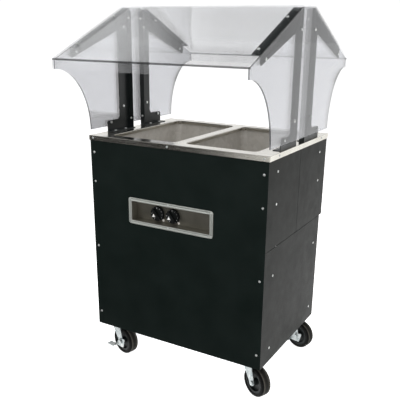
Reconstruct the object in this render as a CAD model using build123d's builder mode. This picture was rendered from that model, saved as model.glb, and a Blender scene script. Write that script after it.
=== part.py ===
"""Portable two-well electric steam table with an enclosed base and a clear canopy.

Millimetres, +Z up.  X runs along the serving side, -Y is the front (control side), +Y is the
open storage side.  Every piece is drawn about the middle of the cabinet, and save() then moves
it by CABINET_X, because the trailing wheels reach further out at the right end and the origin is
on the floor under the middle of the whole object.
"""
from build123d import *
import math
import os

os.makedirs("parts", exist_ok=True)

# ---------------------------------------------------------------- driving dimensions
CABINET_X = -15.0  # middle of the cabinet, seen from the middle of the whole object
BODY_W = 808.0  # cabinet width over the side panels
BODY_D = 610.0  # cabinet depth over the front panel and the rear apron
PANEL_T = 1.5  # panel and deck sheet
PANEL_BOTTOM = 152.0
DECK_TOP = 1010.0
RIM_DROP = 20.0  # depth of the hemmed rim that the deck turns down over the panels
RIM_T = 4.0
SEAM_Z = 646.0  # joint between the upper and lower side panels
SEAM_GAP = 2.0
LOWER_REAR_SET = 25.0  # how far the lower cabinet stops short of the rear apron

POST_T = 2.0
POST_FACE = 38.0  # post leg behind the front or rear face
POST_SIDE = 98.0  # post leg behind the side panels
FRAME_Z = 156.0  # underside of the base frame, on the caster plates
FRAME_T = 2.5
FRAME_H = 30.0
GUSSET_W = 118.0
GUSSET_D = 108.0
SHELF_T = 1.2

WELL_PITCH = 352.0  # centre to centre of the two wells
WELL_L = 512.0  # clear opening of a well along Y
WELL_W = 306.0  # clear opening of a well along X
WELL_R = 22.0
WELL_BOTTOM = 846.0
COLLAR_DEPTH = 14.0  # rolled edge that the deck turns down round each well
COLLAR_T = 4.0
COLLAR_ROLL = 3.2
LINER_SET = 0.5  # gap between the collar and the liner's wall
LINER_T = 1.2
LINER_LIP = 5.0  # liner flange under the deck
JACKET_GAP = 10.0  # insulation between a liner and its housing
HOUSING_T = 1.0
HOUSING_BOTTOM = 800.0
ELEMENT_R = 4.0

RECESS_X = -17.0  # middle of the control recess
RECESS_Z = 718.0
RECESS_W = 366.0
RECESS_H = 80.0
RECESS_DEPTH = 40.0
BEZEL_W = 16.0
BEZEL_R = 11.0
TRAY_T = 1.5
KNOB_X = (-96.0, -22.0)  # left and right knob
KNOB_Z = 712.0
KNOB_R = 31.0
KNOB_BASE = 5.0  # skirt's distance from the back of the recess
KNOB_SKIRT = 8.0
KNOB_GRIP = 12.0
LAMP_DX = 24.0  # pilot lamp beside each knob
LAMP_DZ = -27.0
LAMP_R = 4.0
SHAFT_R = 3.0
RUNNING_GAP = 0.05  # radial clearance of a running fit
SWITCH_SIZE = 46.0
BOX_DEPTH = 88.0
BOX_H = 112.0

PANE_T = 6.0  # acrylic sheet
PANE_HALF_L = 406.0
EAVE_Y = 495.0
EAVE_Z = 1318.0
LIP_Z = 1280.0  # lower edge of the turned-down eave
PLATEAU_Y = 60.0  # half width of the flat along the ridge
RIDGE_Z = 1516.0
BEND_R = 9.0
END_OUT = 404.0  # outer face of an end pane
END_BOTTOM = 1032.0
END_HALF_BOTTOM = 300.0

LEG_T = 2.5
LEG_FOOT_Y = 198.0
LEG_POST_OUT = 112.0
LEG_POST_IN = 42.0
LEG_FOOT_TOP = 1056.0
LEG_ARM_Y = 404.0
ARM_LOW_Z = 1420.0  # underside of the arm where it would meet the post
ARM_LOW_SLOPE = 0.36
ARM_FLANGE_W = 31.0
EDGE_FLANGE_W = 20.0
FOOT_FLANGE_W = 28.0

BOLT_R = 3.0
BOLT_HEAD_R = 5.8
BOLT_HEAD_H = 3.2
NUT_H = 4.0
SCREW_R = 2.2
SCREW_HEAD_R = 5.0
SCREW_HEAD_H = 2.2

CASTER_X = 338.0
CASTER_Y = 233.0
CASTER_TRAIL = 35.0
WHEEL_R = 63.5
WHEEL_HALF_T = 23.0
SHOULDER_R = 10.0
CORE_R = 49.0
RIM_HALF = 20.0
HUB_HALF = 26.0
FORK_IN = 26.5
FORK_T = 3.0
AXLE_R = 6.5
KINGPIN_R = 6.0
PLATE_L = 95.0
PLATE_W = 75.0
PLATE_T = 3.0
PEDAL_T = 3.5
PEDAL_WIDTH = 27.0
PEDAL_CORNERS = ((25.0, 14.0), (15.0, -20.0), (-26.0, -20.0))  # brake plate round the axle

# ---------------------------------------------------------------- worked-out positions
HALF_W = BODY_W / 2
HALF_D = BODY_D / 2
DECK_UNDER = DECK_TOP - PANEL_T
PANEL_TOP = DECK_UNDER  # the panels run up behind the rim
RIM_Z = DECK_TOP - RIM_DROP
PANEL_IN_X = HALF_W - PANEL_T
FRONT_IN_Y = -HALF_D + PANEL_T
REAR_IN_Y = HALF_D - PANEL_T
LOWER_REAR_Y = HALF_D - LOWER_REAR_SET
POST_REAR_Y = LOWER_REAR_Y - PANEL_T
FRAME_X = PANEL_IN_X - POST_T
FRAME_FRONT_Y = FRONT_IN_Y + POST_T
FRAME_REAR_Y = POST_REAR_Y - POST_T
SHELF_Z = FRAME_Z + FRAME_H
WELL_XS = (-WELL_PITCH / 2, WELL_PITCH / 2)
COLLAR_Z = DECK_TOP - COLLAR_DEPTH
LINER_W = WELL_W + 2 * (COLLAR_T + LINER_SET)  # inside of a liner
LINER_L = WELL_L + 2 * (COLLAR_T + LINER_SET)
LINER_R = WELL_R + COLLAR_T + LINER_SET
TRAY_BACK_Y = -HALF_D + RECESS_DEPTH
ROOF_SLOPE = (RIDGE_Z - EAVE_Z) / (EAVE_Y - PLATEAU_Y)
ROOF_ANGLE = math.degrees(math.atan(ROOF_SLOPE))
PANE_DROP = PANE_T / math.cos(math.radians(ROOF_ANGLE))
LEG_OUT = END_OUT - PANE_T
LEG_IN = LEG_OUT - LEG_T
FORK_OUT = FORK_IN + FORK_T

SCREW_ROWS = (941.0, 817.0, 530.0, 215.0)  # heights of the screws down the panels
FRONT_SCREW_X = 386.0
SIDE_SCREW_Y = 224.0
MID_SCREW_X = -24.0
RIM_SCREW_Z = 1000.0
RIM_SCREW_XS = (-FRONT_SCREW_X, MID_SCREW_X, FRONT_SCREW_X)
PANEL_BOLTS = ((88.0, 1108.0), (176.0, 1048.0), (72.0, 1434.0), (372.0, 1339.0))
TIE_BOLT_Z = (1052.0, 1470.0)
TIE_BOLT_X = 386.0
ROOF_BOLT_Y = (150.0, 378.0)
ROOF_BOLT_X = 380.0
FOOT_BOLT_Y = (165.0, 95.0)
FOOT_BOLT_X = 381.0


def roof_under(y):
    """Height of the underside of the roof panes at a distance y from the ridge line."""
    return min(EAVE_Z + (EAVE_Y - abs(y)) * ROOF_SLOPE - PANE_DROP, RIDGE_Z - PANE_T)


def save(part, name):
    """Move a piece into the shared frame and write it out."""
    placed = Pos(CABINET_X, 0, 0) * part
    placed.label = name
    export_step(placed, f"parts/{name}.step")


# ---------------------------------------------------------------- deck and wells
with BuildPart() as deck_top:
    with BuildSketch(Plane.XY.offset(RIM_Z)):
        RectangleRounded(BODY_W + 2 * RIM_T, BODY_D + 2 * RIM_T, 3)
    extrude(amount=RIM_DROP)
    fillet(deck_top.edges().group_by(Axis.Z)[-1], radius=1.2)
    with BuildSketch(Plane.XY.offset(RIM_Z)):
        Rectangle(BODY_W, BODY_D)
    extrude(amount=RIM_DROP - PANEL_T, mode=Mode.SUBTRACT)
    with BuildSketch(Plane.XY.offset(COLLAR_Z)):
        with Locations(*[(x, 0) for x in WELL_XS]):
            RectangleRounded(WELL_W + 2 * COLLAR_T, WELL_L + 2 * COLLAR_T, WELL_R + COLLAR_T)
    extrude(amount=COLLAR_DEPTH)
    with BuildSketch(Plane.XY.offset(COLLAR_Z)):
        with Locations(*[(x, 0) for x in WELL_XS]):
            RectangleRounded(WELL_W, WELL_L, WELL_R)
    extrude(amount=COLLAR_DEPTH, mode=Mode.SUBTRACT)
    top_edges = deck_top.edges().group_by(Axis.Z)[-1]
    well_edges = top_edges.filter_by(lambda e: abs(e.center().X) < HALF_W - 20 and abs(e.center().Y) < HALF_D - 20)
    fillet(well_edges, radius=COLLAR_ROLL)
    with BuildSketch(Plane.XY.offset(DECK_UNDER)):
        with Locations(*[(i * FOOT_BOLT_X, j * y) for i in (-1, 1) for j in (-1, 1) for y in FOOT_BOLT_Y]):
            Circle(BOLT_R)
    extrude(amount=PANEL_T, mode=Mode.SUBTRACT)
    for side in (-1, 1):
        with BuildSketch(Plane.XZ.offset(-side * HALF_D)):
            with Locations(*[(x, RIM_SCREW_Z) for x in RIM_SCREW_XS]):
                Circle(SCREW_R)
        extrude(amount=-side * RIM_T, mode=Mode.SUBTRACT)
        with BuildSketch(Plane.YZ.offset(side * HALF_W)):
            with Locations((-SIDE_SCREW_Y, RIM_SCREW_Z), (SIDE_SCREW_Y, RIM_SCREW_Z)):
                Circle(SCREW_R)
        extrude(amount=side * RIM_T, mode=Mode.SUBTRACT)
save(deck_top.part, "deck_top")


def well_liner(name, x):
    """Drawn pan that hangs from a flange under the deck, round the deck's collar."""
    with BuildPart() as liner:
        with BuildSketch(Plane.XY.offset(WELL_BOTTOM - LINER_T)):
            with Locations((x, 0)):
                RectangleRounded(LINER_W + 2 * LINER_T, LINER_L + 2 * LINER_T, LINER_R + LINER_T)
        extrude(amount=DECK_UNDER - WELL_BOTTOM + LINER_T)
        with BuildSketch(Plane.XY.offset(DECK_UNDER - LINER_T)):
            with Locations((x, 0)):
                RectangleRounded(LINER_W + 2 * LINER_LIP, LINER_L + 2 * LINER_LIP, LINER_R + LINER_LIP)
        extrude(amount=LINER_T)
        with BuildSketch(Plane.XY.offset(WELL_BOTTOM)):
            with Locations((x, 0)):
                RectangleRounded(LINER_W, LINER_L, LINER_R)
        extrude(amount=DECK_UNDER - WELL_BOTTOM, mode=Mode.SUBTRACT)
    save(liner.part, name)


def well_housing(name, x):
    """Galvanised box that holds the insulation and the heating element under a liner."""
    top = DECK_UNDER - LINER_T
    outer_w = LINER_W + 2 * (LINER_T + JACKET_GAP + HOUSING_T)
    outer_l = LINER_L + 2 * (LINER_T + JACKET_GAP + HOUSING_T)
    with BuildPart() as housing:
        with BuildSketch(Plane.XY.offset(HOUSING_BOTTOM)):
            with Locations((x, 0)):
                RectangleRounded(outer_w, outer_l, WELL_R)
        extrude(amount=top - HOUSING_BOTTOM)
        with BuildSketch(Plane.XY.offset(HOUSING_BOTTOM + HOUSING_T)):
            with Locations((x, 0)):
                RectangleRounded(outer_w - 2 * HOUSING_T, outer_l - 2 * HOUSING_T, WELL_R - HOUSING_T)
        extrude(amount=top - HOUSING_BOTTOM, mode=Mode.SUBTRACT)
    save(housing.part, name)


for side_name, well_x in zip(("left", "right"), WELL_XS):
    well_liner(f"well_liner_{side_name}", well_x)
    well_housing(f"well_housing_{side_name}", well_x)

with BuildPart() as well_insulation:
    jacket_w = LINER_W + 2 * (LINER_T + JACKET_GAP)
    jacket_l = LINER_L + 2 * (LINER_T + JACKET_GAP)
    jacket_top = DECK_UNDER - 2 * LINER_T
    jacket_r = WELL_R - HOUSING_T
    with BuildSketch(Plane.XY.offset(HOUSING_BOTTOM + HOUSING_T)):
        with Locations(*[(x, 0) for x in WELL_XS]):
            RectangleRounded(jacket_w, jacket_l, jacket_r)
    extrude(amount=jacket_top - HOUSING_BOTTOM - HOUSING_T)
    with BuildSketch(Plane.XY.offset(HOUSING_BOTTOM + HOUSING_T + JACKET_GAP)):
        with Locations(*[(x, 0) for x in WELL_XS]):
            RectangleRounded(LINER_W + 2 * LINER_T, LINER_L + 2 * LINER_T, LINER_R + LINER_T)
    extrude(amount=jacket_top - HOUSING_BOTTOM, mode=Mode.SUBTRACT)
save(well_insulation.part, "well_insulation")

with BuildPart() as heating_elements:
    element_z = WELL_BOTTOM - LINER_T - ELEMENT_R
    run = WELL_L / 2 - 60
    gap = 45.0
    for well_x in WELL_XS:
        with BuildLine(Plane.XY.offset(element_z)) as element_path:
            FilletPolyline(
                (well_x - 3 * gap / 2, -run),
                (well_x - 3 * gap / 2, run),
                (well_x - gap / 2, run),
                (well_x - gap / 2, -run + 40),
                (well_x + gap / 2, -run + 40),
                (well_x + gap / 2, run),
                (well_x + 3 * gap / 2, run),
                (well_x + 3 * gap / 2, -run),
                radius=gap / 2 - 2,
            )
        with BuildSketch(Plane(element_path.line @ 0, z_dir=element_path.line % 0)):
            Circle(ELEMENT_R)
        sweep(path=element_path.line)
save(heating_elements.part, "heating_elements")

# ---------------------------------------------------------------- frame and shelf
with BuildPart() as base_frame:
    frame_mid_y = (FRAME_FRONT_Y + FRAME_REAR_Y) / 2
    frame_w = 2 * FRAME_X
    frame_d = FRAME_REAR_Y - FRAME_FRONT_Y
    with BuildSketch(Plane.XY.offset(FRAME_Z)):
        with Locations((0, frame_mid_y)):
            Rectangle(frame_w, frame_d)
            Rectangle(frame_w - 2 * FRAME_T, frame_d - 2 * FRAME_T, mode=Mode.SUBTRACT)
    extrude(amount=FRAME_H)
    with BuildSketch(Plane.XY.offset(FRAME_Z)):
        with Locations((0, frame_mid_y)):
            Rectangle(frame_w, frame_d)
            Rectangle(frame_w - 72, frame_d - 72, mode=Mode.SUBTRACT)
        for i in (-1, 1):
            with Locations((i * (FRAME_X - GUSSET_W / 2), FRAME_FRONT_Y + GUSSET_D / 2)):
                Rectangle(GUSSET_W, GUSSET_D)
            with Locations((i * (FRAME_X - GUSSET_W / 2), FRAME_REAR_Y - GUSSET_D / 2)):
                Rectangle(GUSSET_W, GUSSET_D)
        with Locations(*[(i * CASTER_X, j * CASTER_Y) for i in (-1, 1) for j in (-1, 1)]):
            with GridLocations(PLATE_L - 19, PLATE_W - 19, 2, 2):
                Circle(BOLT_R, mode=Mode.SUBTRACT)
    extrude(amount=FRAME_T)
save(base_frame.part, "base_frame")

with BuildPart() as undershelf:
    with BuildSketch(Plane.XY.offset(SHELF_Z)):
        with Locations((0, frame_mid_y)):
            Rectangle(frame_w, frame_d)
    extrude(amount=SHELF_T)
    with BuildSketch(Plane.XY.offset(SHELF_Z - FRAME_H)):
        with Locations((0, FRAME_REAR_Y + SHELF_T / 2)):
            Rectangle(2 * (PANEL_IN_X - POST_FACE) - 2, SHELF_T)
    extrude(amount=FRAME_H + SHELF_T)
save(undershelf.part, "undershelf")

with BuildPart() as corner_posts:
    for i in (-1, 1):
        for j, face_y in ((-1, FRONT_IN_Y), (1, POST_REAR_Y)):
            side_x = i * (PANEL_IN_X - POST_T / 2)
            side_y = face_y - j * POST_SIDE / 2
            with BuildSketch(Plane.XY.offset(FRAME_Z)):
                with Locations((side_x, side_y)):
                    Rectangle(POST_T, POST_SIDE)
                with Locations((i * (PANEL_IN_X - POST_FACE / 2), face_y - j * POST_T / 2)):
                    Rectangle(POST_FACE, POST_T)
            extrude(amount=DECK_UNDER - FRAME_Z)
    for side in (-1, 1):
        with BuildSketch(Plane.YZ.offset(side * (PANEL_IN_X - POST_T))):
            with Locations(*[(j * SIDE_SCREW_Y, z) for j in (-1, 1) for z in SCREW_ROWS + (RIM_SCREW_Z,)]):
                Circle(SCREW_R)
        extrude(amount=side * POST_T, mode=Mode.SUBTRACT)
    with BuildSketch(Plane.XZ.offset(-FRONT_IN_Y)):
        with Locations(*[(i * FRONT_SCREW_X, z) for i in (-1, 1) for z in SCREW_ROWS + (RIM_SCREW_Z,)]):
            Circle(SCREW_R)
    extrude(amount=-POST_T, mode=Mode.SUBTRACT)
save(corner_posts.part, "corner_posts")

# ---------------------------------------------------------------- cabinet panels
with BuildPart() as front_panel:
    with BuildSketch(Plane.XZ.offset(HALF_D)):
        with Locations((0, (PANEL_TOP + PANEL_BOTTOM) / 2)):
            Rectangle(BODY_W, PANEL_TOP - PANEL_BOTTOM)
        with Locations((RECESS_X, RECESS_Z)):
            Rectangle(RECESS_W + 2 * TRAY_T, RECESS_H + 2 * TRAY_T, mode=Mode.SUBTRACT)
            with GridLocations(RECESS_W + BEZEL_W, RECESS_H + BEZEL_W, 2, 2):
                Circle(SCREW_R, mode=Mode.SUBTRACT)
        with Locations((MID_SCREW_X, RECESS_Z)):
            with GridLocations(0, RECESS_H + BEZEL_W, 1, 2):
                Circle(SCREW_R, mode=Mode.SUBTRACT)
        with Locations(*[(i * FRONT_SCREW_X, z) for i in (-1, 1) for z in SCREW_ROWS + (RIM_SCREW_Z,)]):
            Circle(SCREW_R, mode=Mode.SUBTRACT)
        with Locations((MID_SCREW_X, RIM_SCREW_Z)):
            Circle(SCREW_R, mode=Mode.SUBTRACT)
    extrude(amount=-PANEL_T)
    with BuildSketch(Plane.XY.offset(PANEL_BOTTOM)):
        with Locations((0, FRONT_IN_Y + POST_T / 2)):
            Rectangle(2 * (PANEL_IN_X - POST_FACE) - 4, POST_T)
    extrude(amount=PANEL_T)
save(front_panel.part, "front_panel")


def side_panel(name, side, y_low, y_high, z_low, z_high, rows, screw_ys):
    """Flat side sheet with its rows of screw holes."""
    with BuildPart() as panel:
        with BuildSketch(Plane.YZ.offset(side * PANEL_IN_X)):
            with Locations(((y_low + y_high) / 2, (z_low + z_high) / 2)):
                Rectangle(y_high - y_low, z_high - z_low)
            with Locations(*[(y, z) for y in screw_ys for z in rows]):
                Circle(SCREW_R, mode=Mode.SUBTRACT)
        extrude(amount=side * PANEL_T)
    save(panel.part, name)


for side_name, side in (("left", -1), ("right", 1)):
    upper_rows = SCREW_ROWS[:2] + (RIM_SCREW_Z,)
    half_gap = SEAM_GAP / 2
    side_panel(f"side_panel_{side_name}_upper_front", side, FRONT_IN_Y, -half_gap, SEAM_Z, PANEL_TOP,
               upper_rows, (-SIDE_SCREW_Y,))
    side_panel(f"side_panel_{side_name}_upper_rear", side, half_gap, HALF_D, SEAM_Z, PANEL_TOP,
               upper_rows, (SIDE_SCREW_Y,))
    side_panel(f"side_panel_{side_name}_lower", side, FRONT_IN_Y, LOWER_REAR_Y, PANEL_BOTTOM,
               SEAM_Z - SEAM_GAP, SCREW_ROWS[2:], (-SIDE_SCREW_Y, SIDE_SCREW_Y))

INLET_X = -150.0
INLET_Z = 745.0
INLET_R = 22.0
with BuildPart() as rear_apron:
    with BuildSketch(Plane.XZ.offset(-REAR_IN_Y)):
        with Locations((0, (PANEL_TOP + SEAM_Z) / 2)):
            Rectangle(2 * PANEL_IN_X, PANEL_TOP - SEAM_Z)
        with Locations((INLET_X, INLET_Z)):
            Circle(INLET_R, mode=Mode.SUBTRACT)
        with Locations(*[(x, RIM_SCREW_Z) for x in RIM_SCREW_XS]):
            Circle(SCREW_R, mode=Mode.SUBTRACT)
    extrude(amount=-PANEL_T)
    with BuildSketch(Plane.XY.offset(SEAM_Z)):
        with Locations((0, (REAR_IN_Y + LOWER_REAR_Y) / 2)):
            Rectangle(2 * PANEL_IN_X, REAR_IN_Y - LOWER_REAR_Y)
    extrude(amount=PANEL_T)
save(rear_apron.part, "rear_apron")

# ---------------------------------------------------------------- controls
with BuildPart() as control_tray:
    with BuildSketch(Plane.XZ.offset(HALF_D)):
        with Locations((RECESS_X, RECESS_Z)):
            RectangleRounded(RECESS_W + 2 * BEZEL_W, RECESS_H + 2 * BEZEL_W, BEZEL_R)
    extrude(amount=TRAY_T)
    chamfer(control_tray.faces().sort_by(Axis.Y)[0].edges(), length=0.9)
    with BuildSketch(Plane.XZ.offset(HALF_D)):
        with Locations((RECESS_X, RECESS_Z)):
            Rectangle(RECESS_W + 2 * TRAY_T, RECESS_H + 2 * TRAY_T)
    extrude(amount=-RECESS_DEPTH - TRAY_T)
    with BuildSketch(Plane.XZ.offset(HALF_D + TRAY_T)):
        with Locations((RECESS_X, RECESS_Z)):
            Rectangle(RECESS_W, RECESS_H)
    extrude(amount=-RECESS_DEPTH - TRAY_T, mode=Mode.SUBTRACT)
    with BuildSketch(Plane.XZ.offset(HALF_D)):
        with Locations((RECESS_X, RECESS_Z)):
            with GridLocations(RECESS_W + BEZEL_W, RECESS_H + BEZEL_W, 2, 2):
                Circle(SCREW_R)
        with Locations((MID_SCREW_X, RECESS_Z)):
            with GridLocations(0, RECESS_H + BEZEL_W, 1, 2):
                Circle(SCREW_R)
    extrude(amount=TRAY_T, mode=Mode.SUBTRACT)
    with BuildSketch(Plane.XZ.offset(-TRAY_BACK_Y)):
        with Locations(*[(x, KNOB_Z) for x in KNOB_X]):
            Circle(SHAFT_R + 2)
        with Locations(*[(x + LAMP_DX, KNOB_Z + LAMP_DZ) for x in KNOB_X]):
            Circle(LAMP_R)
    extrude(amount=-TRAY_T, mode=Mode.SUBTRACT)
save(control_tray.part, "control_tray")

TRAY_REAR_Y = TRAY_BACK_Y + TRAY_T
SHAFT_TIP = 20.0  # how far a switch shaft stands out of the back of the recess
for side_name, knob_x in zip(("left", "right"), KNOB_X):
    with BuildPart() as switch_body:
        with BuildSketch(Plane.XZ.offset(-TRAY_REAR_Y)):
            with Locations((knob_x, KNOB_Z + 3)):
                RectangleRounded(SWITCH_SIZE, SWITCH_SIZE - 8, 4)
        extrude(amount=-SWITCH_SIZE)
        with BuildSketch(Plane.XZ.offset(-TRAY_REAR_Y)):
            with Locations((knob_x, KNOB_Z)):
                Circle(SHAFT_R + RUNNING_GAP)
        extrude(amount=-20, mode=Mode.SUBTRACT)
        for dx in (-8, 8):
            with BuildSketch(Plane.XZ.offset(-TRAY_REAR_Y - SWITCH_SIZE)):
                with Locations((knob_x + dx, KNOB_Z + 8)):
                    Rectangle(1, 7)
            extrude(amount=-9)
    save(switch_body.part, f"heat_switch_{side_name}")

    with BuildPart() as switch_shaft:
        with BuildSketch(Plane.XZ.offset(-TRAY_REAR_Y - 18)):
            with Locations((knob_x, KNOB_Z)):
                Circle(SHAFT_R)
        extrude(amount=18 + TRAY_T + SHAFT_TIP)
    save(switch_shaft.part, f"switch_shaft_{side_name}")

    with BuildPart() as knob:
        with BuildSketch(Plane.XZ.offset(-TRAY_BACK_Y + KNOB_BASE)):
            with Locations((knob_x, KNOB_Z)):
                Circle(KNOB_R)
        extrude(amount=KNOB_SKIRT, taper=8)
        with BuildSketch(Plane.XZ.offset(-TRAY_BACK_Y + KNOB_BASE + KNOB_SKIRT)):
            with Locations((knob_x, KNOB_Z)):
                SlotOverall(2 * KNOB_R - 8, 13, rotation=-52)
        extrude(amount=KNOB_GRIP, taper=5)
        fillet(knob.faces().sort_by(Axis.Y)[0].edges(), radius=1.5)
        with BuildSketch(Plane.XZ.offset(-TRAY_BACK_Y + KNOB_BASE)):
            with Locations((knob_x, KNOB_Z)):
                Circle(SHAFT_R)
        extrude(amount=SHAFT_TIP - KNOB_BASE, mode=Mode.SUBTRACT)
    save(knob.part, f"knob_{side_name}")

with BuildPart() as pilot_lamps:
    for knob_x in KNOB_X:
        with BuildSketch(Plane.XZ.offset(-TRAY_REAR_Y - 14)):
            with Locations((knob_x + LAMP_DX, KNOB_Z + LAMP_DZ)):
                Circle(LAMP_R)
        extrude(amount=14 + TRAY_T)
        with BuildSketch(Plane.XZ.offset(-TRAY_BACK_Y)):
            with Locations((knob_x + LAMP_DX, KNOB_Z + LAMP_DZ)):
                Circle(LAMP_R + 1.2)
        extrude(amount=1.4)
save(pilot_lamps.part, "pilot_lamps")

with BuildPart() as control_box:
    box_w = RECESS_W - 4
    with BuildSketch(Plane.XZ.offset(-TRAY_REAR_Y)):
        with Locations((RECESS_X, RECESS_Z)):
            Rectangle(box_w, RECESS_H)
    extrude(amount=-BOX_DEPTH)
    with BuildSketch(Plane.XZ.offset(-TRAY_REAR_Y)):
        with Locations((RECESS_X, RECESS_Z)):
            Rectangle(box_w - 2 * HOUSING_T, RECESS_H - 2 * HOUSING_T)
    extrude(amount=-BOX_DEPTH + HOUSING_T, mode=Mode.SUBTRACT)
save(control_box.part, "control_box")

# ---------------------------------------------------------------- power inlet and conduit
with BuildPart() as power_inlet:
    with BuildSketch(Plane.XZ.offset(-HALF_D)):
        with Locations((INLET_X, INLET_Z)):
            RectangleRounded(66, 66, 8)
    extrude(amount=-4)
    with BuildSketch(Plane.XZ.offset(-HALF_D - 4)):
        with Locations((INLET_X, INLET_Z)):
            Circle(26)
    extrude(amount=-18)
    with BuildSketch(Plane.XZ.offset(-HALF_D + 24)):
        with Locations((INLET_X, INLET_Z)):
            Circle(INLET_R)
    extrude(amount=-24)
    with BuildSketch(Plane.XZ.offset(-HALF_D - 22)):
        with Locations((INLET_X, INLET_Z)):
            Circle(19)
    extrude(amount=24, mode=Mode.SUBTRACT)
    for turn in (90, 210, 330):
        with BuildSketch(Plane.XZ.offset(-HALF_D + 2)):
            with Locations((INLET_X + 12 * math.cos(math.radians(turn)), INLET_Z + 12 * math.sin(math.radians(turn)))):
                Rectangle(2, 6, rotation=turn)
        extrude(amount=-19)
save(power_inlet.part, "power_inlet")

CONDUIT_R = 8.0
BOX_REAR_Y = TRAY_REAR_Y + BOX_DEPTH
with BuildPart() as conduits:
    with BuildSketch(Plane.XZ.offset(-BOX_REAR_Y)):
        with Locations((INLET_X, INLET_Z)):
            Circle(CONDUIT_R)
    extrude(amount=-(HALF_D - 24 - BOX_REAR_Y))
    with BuildSketch(Plane.XY.offset(RECESS_Z + RECESS_H / 2)):
        with Locations(*[(x, BOX_REAR_Y - 30) for x in (-140.0, 120.0)]):
            Circle(CONDUIT_R)
    extrude(amount=HOUSING_BOTTOM - RECESS_Z - RECESS_H / 2)
save(conduits.part, "conduits")

# ---------------------------------------------------------------- canopy
for name, side in (("front", -1), ("rear", 1)):
    with BuildPart() as roof_pane:
        with BuildSketch(Plane.YZ.offset(-PANE_HALF_L)):
            with BuildLine():
                FilletPolyline(
                    (side * EAVE_Y, LIP_Z),
                    (side * EAVE_Y, EAVE_Z),
                    (side * PLATEAU_Y, RIDGE_Z),
                    (side * 0.5, RIDGE_Z),
                    radius=BEND_R,
                )
                offset(amount=PANE_T, side=Side.RIGHT if side < 0 else Side.LEFT)
            make_face()
        extrude(amount=2 * PANE_HALF_L)
        roof_planes = [
            Plane(
                origin=(i * ROOF_BOLT_X, side * y, roof_under(y)),
                x_dir=(1, 0, 0),
                z_dir=(0, side * math.sin(math.radians(ROOF_ANGLE)), math.cos(math.radians(ROOF_ANGLE))),
            )
            for i in (-1, 1)
            for y in ROOF_BOLT_Y
        ]
        for plane in roof_planes:
            with BuildSketch(plane):
                Circle(BOLT_R)
            extrude(amount=PANE_T, mode=Mode.SUBTRACT)
    save(roof_pane.part, f"roof_pane_{name}")

for side_name, side in (("left", -1), ("right", 1)):
    with BuildPart() as end_pane:
        eave_in = EAVE_Y - PANE_T
        curve_w = eave_in - END_HALF_BOTTOM
        curve_h = LIP_Z - END_BOTTOM
        with BuildSketch(Plane.YZ.offset(side * LEG_OUT)):
            with BuildLine():
                Line((-END_HALF_BOTTOM, END_BOTTOM), (END_HALF_BOTTOM, END_BOTTOM))
                EllipticalCenterArc((eave_in, END_BOTTOM), curve_w, curve_h, 90, arc_size=90)
                EllipticalCenterArc((-eave_in, END_BOTTOM), curve_w, curve_h, 0, arc_size=90)
                Polyline(
                    (eave_in, LIP_Z),
                    (eave_in, roof_under(eave_in) - 4),
                    (eave_in - 4, roof_under(eave_in - 4)),
                    (PLATEAU_Y, roof_under(PLATEAU_Y)),
                    (PLATEAU_Y - 3, RIDGE_Z - PANE_T),
                    (3 - PLATEAU_Y, RIDGE_Z - PANE_T),
                    (-PLATEAU_Y, roof_under(PLATEAU_Y)),
                    (4 - eave_in, roof_under(eave_in - 4)),
                    (-eave_in, roof_under(eave_in) - 4),
                    (-eave_in, LIP_Z),
                )
            make_face()
            with Locations(*[(j * y, z) for j in (-1, 1) for y, z in PANEL_BOLTS]):
                Circle(BOLT_R, mode=Mode.SUBTRACT)
        extrude(amount=side * PANE_T)
    save(end_pane.part, f"end_pane_{side_name}")


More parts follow.
